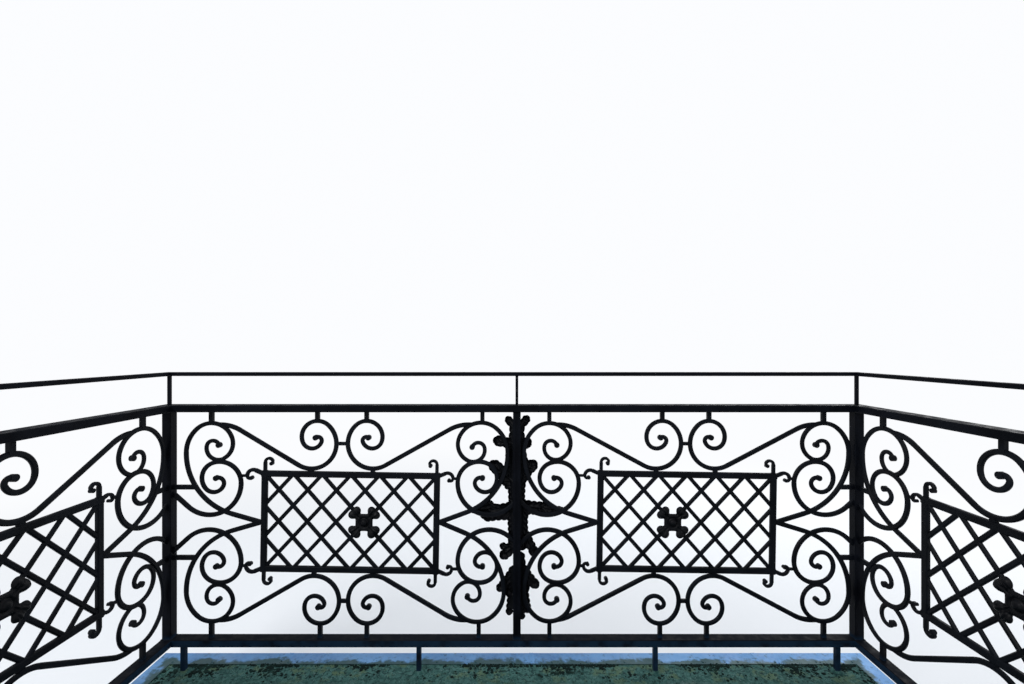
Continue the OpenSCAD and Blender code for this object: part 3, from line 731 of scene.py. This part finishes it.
def slab():
    """The slab with uneven faces, worn edges and a flat wall face."""
    (x0, y0, z0), (x1, y1, z1) = FLOOR
    nx = round((x1 - x0) / SLAB_STEP)
    ny = round((y1 - y0) / SLAB_STEP)
    nz = round((z1 - z0) / SLAB_STEP)
    index, verts, faces = {}, [], []

    def corner(i, j, k):
        key = (i, j, k)
        if key not in index:
            index[key] = len(verts)
            at = Vector((x0 + (x1 - x0) * i / nx, y0 + (y1 - y0) * j / ny, z0 + (z1 - z0) * k / nz))
            wave = noise.fractal(at * WAVES_PER_M, *WAVE_FRACTAL)
            depth = max(0.0, SLAB_WEAR + SLAB_WAVE * wave)
            if (i in (0, nx)) + (j in (0, ny)) + (k in (0, nz)) > 1:
                chip = max(0.0, noise.noise(at * CHIPS_PER_M + CHIP_SHIFT))
                depth += CHIP_LEAST + CHIP_MORE * chip
            inward = Vector(((i == 0) - (i == nx), -(j == ny), (k == 0) - (k == nz)))
            verts.append(tuple(at + inward * depth))
        return index[key]

    def side(a_range, b_range, at):
        for a in range(a_range):
            for b in range(b_range):
                faces.append((at(a, b), at(a + 1, b), at(a + 1, b + 1), at(a, b + 1)))

    side(nx, ny, lambda a, b: corner(a, b, nz))
    side(ny, nx, lambda a, b: corner(b, a, 0))
    side(nx, nz, lambda a, b: corner(a, 0, b))
    side(nz, nx, lambda a, b: corner(b, ny, a))
    side(nz, ny, lambda a, b: corner(0, b, a))
    side(ny, nz, lambda a, b: corner(nx, a, b))
    obj = piece("slab_concrete", verts, faces, CONCRETE, ("floor_slab",), smooth=False)
    fill_moss(obj, mossiness)


def mossiness(at):
    """0 on bare concrete, 1 under the railing where rain drips."""
    front = max(0.0, 1 - abs(at.y - RAIL_Y) / DRIP_FRONT)
    sides = max(0.0, 1 - abs(abs(at.x) - CORNER_X) / DRIP_SIDE)
    wash = WASH_SWING * noise.noise(at * WASH_PER_M) + WASH_LEVEL
    patches = PATCH_SWING * noise.noise(at * PATCHES_PER_M)
    return min(1.0, max(front, sides, wash) + patches)


slab()


# Moss cushions: their number, their rings as (radius, height) shares, the range of
# their radius and how deep they sit in the slab and the sheet
CUSHIONS = 6000
CUSHION_SIDES = 6
CUSHION_RINGS = ((1.0, 0.0), (0.86, 0.55), (0.45, 0.92))
CUSHION_LEAST = 0.0014
CUSHION_MORE = 0.0064
CUSHION_FLATNESS = (0.30, 0.60)
CUSHION_ROOT = 0.0015
RAGGED_WIDTH = (0.84, 0.32)
RAGGED_HEIGHT = (0.88, 0.24)
ON_SHEET_SCALE = 0.5
SUNK_IN_SLAB = 0.0012
SUNK_IN_SHEET = 0.0006

# Where they grow: running shares of the places, how far (mean, spread) they lie from
# the joint's edge and beyond the railing, and their scale in the joint and elsewhere
IN_FRONT_JOINT = 0.38
IN_SIDE_JOINT = 0.50
BELOW_FRONT_RAIL = 0.80
BELOW_SIDE_RAIL = 0.93
FROM_JOINT = (0.005, 0.006)
FROM_FRONT_RAIL = (0.008, 0.020)
FROM_SIDE_RAIL = (0.002, 0.018)
WALL_CLEAR = 0.03
END_CLEAR = 0.09
STRAY_CLEAR = 0.05
JOINT_SCALE = 0.85
STRAY_SCALE = 0.4

# How thickly they grow: the joint's strip and the sheet's bare rim, as distances
# outward from the sheet's inner edge
JOINT_FROM = -0.016
JOINT_TO = 0.006
BARE_RIM = 0.006
THICK = 0.30
CLUMPED = 1.5
MORE_IN_JOINT = 0.30
LESS_ON_SHEET = 0.35
BROAD_CLUMPS = (9, 14, 0.3)
FINE_CLUMPS = (31, 40, 4.1)
FINE_SHARE = 0.5


def ragged(least, more):
    """A random share between least and least + more."""
    return least + more * dice.random()


def cushion(verts, faces, at, radius, height):
    """A low ragged dome of moss."""
    start = len(verts)
    turn = dice.random() * math.pi
    for ring, (out, rise) in enumerate(CUSHION_RINGS):
        for n in range(CUSHION_SIDES):
            a = turn + 2 * math.pi * n / CUSHION_SIDES
            r = radius * out * ragged(*RAGGED_WIDTH)
            z = at.z + height * rise * ragged(*RAGGED_HEIGHT) - CUSHION_ROOT * (ring == 0)
            verts.append((at.x + r * math.cos(a), at.y + r * math.sin(a), z))
    verts.append((at.x, at.y, at.z + height))
    rings = len(CUSHION_RINGS)
    faces.extend(grid_faces(rings, CUSHION_SIDES, start, wrap=True))
    cap(faces, start + (rings - 1) * CUSHION_SIDES, CUSHION_SIDES, start + rings * CUSHION_SIDES)


def moss_spot():
    """A place for a cushion and its scale: most lie in the joint and below the railing."""
    pick = dice.random()
    if pick < IN_FRONT_JOINT:
        x = dice.uniform(-FLASHING_X, FLASHING_X)
        return Vector((x, FLASHING_Y - dice.gauss(*FROM_JOINT), WALK_Z)), JOINT_SCALE
    if pick < IN_SIDE_JOINT:
        side = dice.choice((-1, 1))
        y = dice.uniform(WALL_CLEAR, FLASHING_Y)
        x = side * (FLASHING_X - dice.gauss(*FROM_JOINT))
        return Vector((x, y, WALK_Z)), JOINT_SCALE
    if pick < BELOW_FRONT_RAIL:
        x = dice.uniform(FLOOR[0][0] + END_CLEAR, FLOOR_X - END_CLEAR)
        return Vector((x, RAIL_Y + dice.gauss(*FROM_FRONT_RAIL), WALK_Z)), 1.0
    if pick < BELOW_SIDE_RAIL:
        x = dice.choice((-1, 1)) * (CORNER_X + dice.gauss(*FROM_SIDE_RAIL))
        return Vector((x, dice.uniform(WALL_CLEAR, RAIL_Y), WALK_Z)), 1.0
    x = dice.uniform(-CORNER_X, CORNER_X)
    return Vector((x, dice.uniform(STRAY_CLEAR, RAIL_Y), WALK_Z)), STRAY_SCALE


def clumps(at, across, along, layer):
    return noise.noise(Vector((at.x * across, at.y * along, layer)))


def clumping(at):
    """Positive where cushions crowd together, negative where the floor stays bare."""
    return clumps(at, *BROAD_CLUMPS) + FINE_SHARE * clumps(at, *FINE_CLUMPS)


def moss_cushions(count):
    """Cushions in clumps, thick in the joint and thin and small on the sheet."""
    verts, faces = [], []
    while count:
        at, scale = moss_spot()
        inset = max(abs(at.x) - FLASHING_X, at.y - FLASHING_Y)
        on_sheet = inset > 0
        in_joint = JOINT_FROM < inset < JOINT_TO
        chance = THICK + CLUMPED * clumping(at)
        chance = chance + MORE_IN_JOINT * in_joint - LESS_ON_SHEET * on_sheet
        if dice.random() > chance or inset > FLASHING_W - BARE_RIM:
            continue
        at.z += SHEET_T - SUNK_IN_SHEET if on_sheet else -SUNK_IN_SLAB
        size = (CUSHION_LEAST + CUSHION_MORE * dice.random() ** 3) * scale
        if on_sheet:
            size *= ON_SHEET_SCALE
        cushion(verts, faces, at, size, size * dice.uniform(*CUSHION_FLATNESS))
        count -= 1
    piece("moss_cushions", verts, faces, MOSS)


moss_cushions(CUSHIONS)


# Flashing: its nails with their spacing and unevenness, and its lapped joints
NAIL_RINGS = ((1.0, 0.0), (0.92, 0.45), (0.62, 0.85))
NAIL_SIDES = 10
NAIL_R = 0.0045
NAIL_H = 0.0022
NAIL_IN = 0.012
FRONT_NAILS = 19
FRONT_NAIL_END = 0.07
FRONT_NAIL_STRAY = 0.008
SIDE_NAILS = 8
SIDE_NAIL_END = 0.06
SIDE_NAIL_STEP = 0.15
SIDE_NAIL_STRAY = 0.006
LAP_PROFILE = ((-1, 0.0), (-0.8, 1.0), (0.8, 1.0), (1, 0.0))
LAP_HALF = 0.009
LAP_T = 0.0012
LAP_SKEW = 0.004
FRONT_LAPS = (-0.86, 0.07, 0.93)
SIDE_LAP = (0.55, 0.553)
INNER_CLEAR = 0.0005
OUTER_CLEAR = 0.0006


def nail(verts, faces, x, y):
    """A low domed nail head on the sheet."""
    start = len(verts)
    at = Vector((x, y, WALK_Z + SHEET_T))
    for share, rise in NAIL_RINGS:
        for n in range(NAIL_SIDES):
            a = 2 * math.pi * n / NAIL_SIDES
            around = Vector((math.cos(a), math.sin(a), 0))
            verts.append(tuple(at + around * NAIL_R * share + UP * NAIL_H * rise))
    verts.append(tuple(at + UP * NAIL_H))
    rings = len(NAIL_RINGS)
    faces.extend(grid_faces(rings, NAIL_SIDES, start, wrap=True))
    cap(faces, start + (rings - 1) * NAIL_SIDES, NAIL_SIDES, start + rings * NAIL_SIDES)


def flashing_nails():
    """A row of nails along each sheet's inner edge."""
    verts, faces = [], []
    width = 2 * FLOOR_X - 2 * FRONT_NAIL_END
    for n in range(FRONT_NAILS):
        x = -FLOOR_X + FRONT_NAIL_END + width * n / (FRONT_NAILS - 1)
        x += dice.uniform(-FRONT_NAIL_STRAY, FRONT_NAIL_STRAY)
        nail(verts, faces, x, FLASHING_Y + NAIL_IN)
    for n in range(SIDE_NAILS):
        y = SIDE_NAIL_END + SIDE_NAIL_STEP * n
        y += dice.uniform(-SIDE_NAIL_STRAY, SIDE_NAIL_STRAY)
        for side in (-1, 1):
            nail(verts, faces, side * (FLASHING_X + NAIL_IN), y)
    piece("flashing_nails", verts, faces, ZINC)


def lap(verts, faces, ends, across):
    """A folded strip between two points on the sheet, raised in its middle."""
    start = len(verts)
    for x, y in ends:
        at = Vector((x, y, WALK_Z + SHEET_T))
        for share, rise in LAP_PROFILE:
            verts.append(tuple(at + across * share + UP * LAP_T * rise))
    faces.extend(grid_faces(len(ends), len(LAP_PROFILE), start))


def flashing_laps():
    """The folds where one length of sheet laps over the next."""
    verts, faces = [], []
    for x in FRONT_LAPS:
        skewed = x + dice.uniform(-LAP_SKEW, LAP_SKEW)
        ends = ((x, FLASHING_Y + INNER_CLEAR), (skewed, FLOOR_Y + SHEET_T - OUTER_CLEAR))
        lap(verts, faces, ends, Vector((LAP_HALF, 0, 0)))
    for side in (-1, 1):
        ends = ((side * (FLASHING_X + INNER_CLEAR), SIDE_LAP[0]),
                (side * (FLOOR_X + SHEET_T - OUTER_CLEAR), SIDE_LAP[1]))
        lap(verts, faces, ends, Vector((0, LAP_HALF * side, 0)))
    piece("flashing_laps", verts, faces, ZINC, smooth=False)


flashing_nails()
flashing_laps()


# Weld beads and mortar collars: radii and the spacing along a bead, how near the
# corners of one bar or foot lie together, and the collar's rings as (radius, height)
POSTS = ("left_corner_post", "right_corner_post", "centre_post", "left_wall_post",
         "right_wall_post")
BEAD_SIDES = 6
BEAD_STEP = 0.003
BAR_BEAD_R = 0.0016
POST_BEAD_R = 0.0019
BEAD_LEAST = 0.8
BEAD_SWELL = 0.5
LUMPS_PER_M = 260
LUMPS_UP = 40
LEVEL_SLACK = 0.0004
BAR_SPREAD = 0.04
BAR_LEAST = 0.005
FOOT_SPREAD = 0.05
COLLAR_SIDES = 20
COLLAR_RINGS = ((0.0075, 0.0095), (0.0110, 0.0090), (0.0165, 0.0055), (0.0225, 0.0005),
                (0.0240, -0.0020))
COLLAR_SQUARE_RINGS = 2
COLLAR_SQUARENESS = 0.4
COLLAR_UNEVEN = 0.12
COLLAR_GRAIN = 40
COLLAR_RING_GRAIN = 0.4
COLLAR_MOSS = 0.8


def bead(verts, faces, x0, x1, y0, y1, z, radius):
    """A lumpy weld bead around a bar's footprint."""
    corners = [(x0, y0), (x1, y0), (x1, y1), (x0, y1)]
    points = []
    for n, (cx, cy) in enumerate(corners):
        nx, ny = corners[(n + 1) % 4]
        steps = max(2, int(math.hypot(nx - cx, ny - cy) / BEAD_STEP))
        points += [(cx + (nx - cx) * s / steps, cy + (ny - cy) * s / steps) for s in range(steps)]
    mx, my = (x0 + x1) / 2, (y0 + y1) / 2
    start = len(verts)
    for px, py in points:
        out = Vector((px - mx, py - my, 0)).normalized()
        lump = noise.noise(Vector((px * LUMPS_PER_M, py * LUMPS_PER_M, z * LUMPS_UP)))
        r = radius * (BEAD_LEAST + BEAD_SWELL * lump)
        for n in range(BEAD_SIDES):
            a = 2 * math.pi * n / BEAD_SIDES
            at = Vector((px, py, z)) + out * r * math.cos(a) + UP * r * math.sin(a)
            verts.append((at.x, max(at.y, FLOOR[0][1]), at.z))
    count = len(points)
    for i in range(count):
        here = start + i * BEAD_SIDES
        after = start + (i + 1) % count * BEAD_SIDES
        for j in range(BEAD_SIDES):
            k = (j + 1) % BEAD_SIDES
            faces.append((here + j, after + j, after + k, here + k))


def footprints(level):
    """Boxes on plan of the bars that end on a rail at this height."""
    boxes = []
    for name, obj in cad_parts.items():
        if not ("volutes" in name or "scrolls" in name):
            continue
        ends = [v.co for v in obj.data.vertices if abs(v.co.z - level) < LEVEL_SLACK]
        while ends:
            near = [p for p in ends if (p - ends[0]).length < BAR_SPREAD]
            ends = [p for p in ends if (p - ends[0]).length >= BAR_SPREAD]
            xs = [p.x for p in near]
            ys = [p.y for p in near]
            if min(max(xs) - min(xs), max(ys) - min(ys)) > BAR_LEAST:
                boxes.append((min(xs), max(xs), min(ys), max(ys)))
    return boxes


def weld_beads():
    """Beads at the ends of the scroll bars and around each post at the rails."""
    verts, faces = [], []
    for level in (PANEL_Z, TOP_Z):
        for box in footprints(level):
            bead(verts, faces, *box, level, BAR_BEAD_R)
        for name in POSTS:
            low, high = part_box(name)
            bead(verts, faces, low[0], high[0], low[1], high[1], level, POST_BEAD_R)
    piece("weld_beads", verts, faces, SCROLL_IRON)


def foot_places():
    """Middles on plan of the square feet."""
    corners = [v.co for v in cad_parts["rail_feet"].data.vertices]
    places = []
    while corners:
        near = [p for p in corners if (p - corners[0]).xy.length < FOOT_SPREAD]
        corners = [p for p in corners if (p - corners[0]).xy.length >= FOOT_SPREAD]
        places.append((sum(p.x for p in near) / len(near), sum(p.y for p in near) / len(near)))
    return places


def foot_collars():
    """Hand-pressed mortar around each foot, square above and rounder where it meets the slab."""
    verts, faces = [], []
    for x, y in foot_places():
        start = len(verts)
        for ring, (size, rise) in enumerate(COLLAR_RINGS):
            for n in range(COLLAR_SIDES):
                a = 2 * math.pi * n / COLLAR_SIDES
                c, s = math.cos(a), math.sin(a)
                square = 1 / max(abs(c), abs(s))
                if ring >= COLLAR_SQUARE_RINGS:
                    square = 1.0 + COLLAR_SQUARENESS * (square - 1)
                r = size * square
                if ring:
                    spot = (x * COLLAR_GRAIN + c, y * COLLAR_GRAIN + s, ring * COLLAR_RING_GRAIN)
                    r *= 1 + COLLAR_UNEVEN * noise.noise(Vector(spot))
                verts.append((x + r * c, y + r * s, WALK_Z + rise))
        quads = grid_faces(len(COLLAR_RINGS), COLLAR_SIDES, start, wrap=True)
        faces.extend((a, d, c, b) for a, b, c, d in quads)
    obj = piece("foot_collars", verts, faces, CONCRETE)
    fill_moss(obj, lambda at: COLLAR_MOSS)


weld_beads()
foot_collars()


# Stage: the floor's half width, where it fades, and the lamps as (place, size in
# metres, power in watts), which aim at the middle of the balcony
STAGE_HALF = 60.0
STAGE_GAP = 0.001
FADE_FROM = 2.2
FADE_TO = 6.0
SKY_STRENGTH = 0.72
AIM = (0, 1.0, 0.5)
KEY_LAMP = ((-3.0, -2.5, 4.5), 3.0, 170)
FILL_LAMP = ((3.5, 4.5, 3.5), 4.0, 120)


def stage_floor():
    """A wide pale floor that fades to white away from the balcony."""
    mesh = bpy.data.meshes.new("stage_floor")
    s = STAGE_HALF
    mesh.from_pydata([(-s, -s, 0), (s, -s, 0), (s, s, 0), (-s, s, 0)], [], [(0, 1, 2, 3)])
    floor = bpy.data.objects.new("stage_floor", mesh)
    floor.location = (0, 0, GROUND_Z - STAGE_GAP)
    scene.collection.objects.link(floor)
    mat, tree, shader = material("stage_floor")
    shader.inputs["Base Color"].default_value = FLOOR_COLOUR
    shader.inputs["Roughness"].default_value = 0.9
    glow = add(tree, "ShaderNodeEmission", Strength=1.0, Color=BACKDROP)
    length = add(tree, "ShaderNodeVectorMath", operation="LENGTH")
    join(tree, add(tree, "ShaderNodeTexCoord").outputs["Object"], length.inputs[0])
    far = span(tree, length.outputs["Value"], FADE_FROM, FADE_TO)
    mix_shaders(tree, times(tree, far, seen(tree)), shader.outputs[0], glow.outputs[0],
                "Material Output")
    mesh.materials.append(mat)


def area_light(name, at, size, power):
    """A square lamp that points at the middle of the balcony."""
    data = bpy.data.lights.new(name, "AREA")
    data.size = size
    data.energy = power
    lamp = bpy.data.objects.new(name, data)
    lamp.location = at
    lamp.rotation_euler = (Vector(AIM) - Vector(at)).to_track_quat("-Z", "Y").to_euler()
    scene.collection.objects.link(lamp)


def world_light():
    """Soft sky light; camera and glossy rays see plain white."""
    world = bpy.data.worlds.new("studio")
    world.use_nodes = True
    tree = world.node_tree
    sky = tree.nodes["Background"]
    sky.inputs["Color"].default_value = SKY_COLOUR
    sky.inputs["Strength"].default_value = SKY_STRENGTH
    white = add(tree, "ShaderNodeBackground", Strength=1.0, Color=BACKDROP)
    mix_shaders(tree, seen(tree), sky.outputs[0], white.outputs[0], "World Output")
    scene.world = world


def camera():
    """Stands in the doorway and looks straight out over the front railing."""
    data = bpy.data.cameras.new("camera")
    data.sensor_fit = "HORIZONTAL"
    data.sensor_width = SENSOR_W
    data.lens = FOCAL_PX / PICTURE_W * SENSOR_W
    data.shift_x = (PICTURE_W / 2 - VANISH_X) / PICTURE_W
    data.shift_y = (HORIZON_Y - PICTURE_H / 2) / PICTURE_W
    data.clip_start = 0.05
    cam = bpy.data.objects.new("camera", data)
    cam.location = (EYE_X, RAIL_Y - EYE_BACK, WALK_Z + EYE_HEIGHT)
    cam.rotation_euler = (math.pi / 2, 0, 0)
    scene.collection.objects.link(cam)
    scene.camera = cam


stage_floor()
area_light("key", *KEY_LAMP)
area_light("fill", *FILL_LAMP)
world_light()
camera()
scene.view_settings.view_transform = "Standard"
